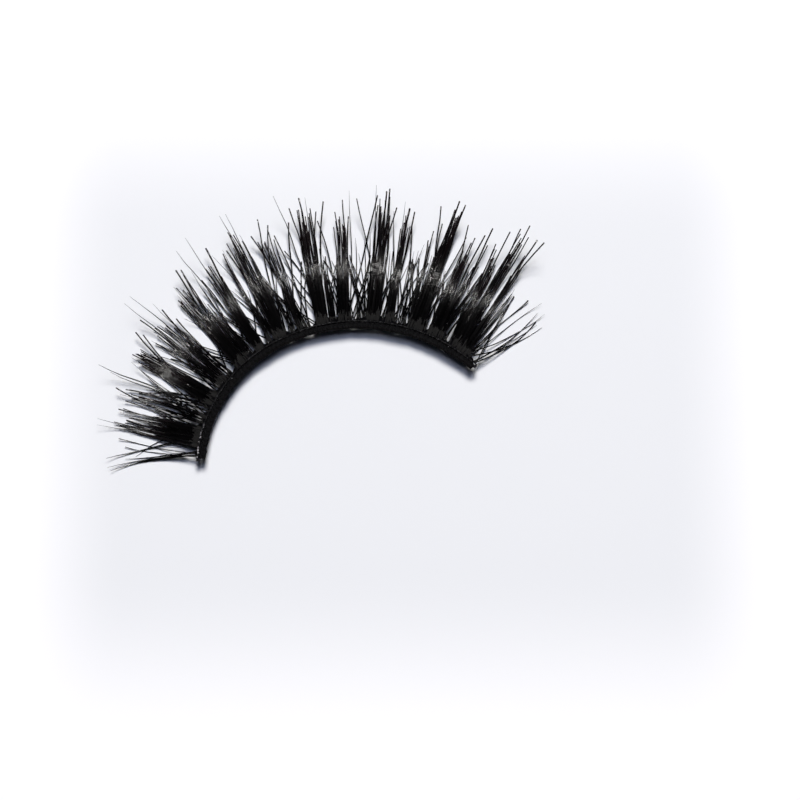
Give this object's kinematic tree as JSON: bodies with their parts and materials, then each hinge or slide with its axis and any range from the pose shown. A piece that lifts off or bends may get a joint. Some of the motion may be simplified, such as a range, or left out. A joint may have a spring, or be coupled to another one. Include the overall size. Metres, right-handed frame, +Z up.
{
  "type": "false eyelash strip",
  "caption": "Strip of black false eyelashes: an arched cotton band with dense locks and crossing single lashes that curl upwards.",
  "frame": {"origin": "centre of the strip's outline seen from above, on the surface that it lies on", "axes": "+X from the inner corner of the eye to the outer corner, +Y from the band's arch out along the middle lashes, +Z up, the way the lashes curl"},
  "size_m": [0.0414, 0.0264, 0.0038],
  "materials": {
    "lash_fibre": "satin black polyester fibre",
    "band_cotton": "black braided cotton set in dried glue",
    "thread": "fine dark thread with a glint",
    "knot": "dark grey knotted thread end, stiffened with glue"
  },
  "bodies": {
    "root": {"band": "band_cotton", "knot_thread": "thread", "lash_fringe": "lash_fibre", "cross_fringe": "lash_fibre", "inner_end_knot": "knot", "outer_end_knot": "knot"}
  },
  "joints": []
}
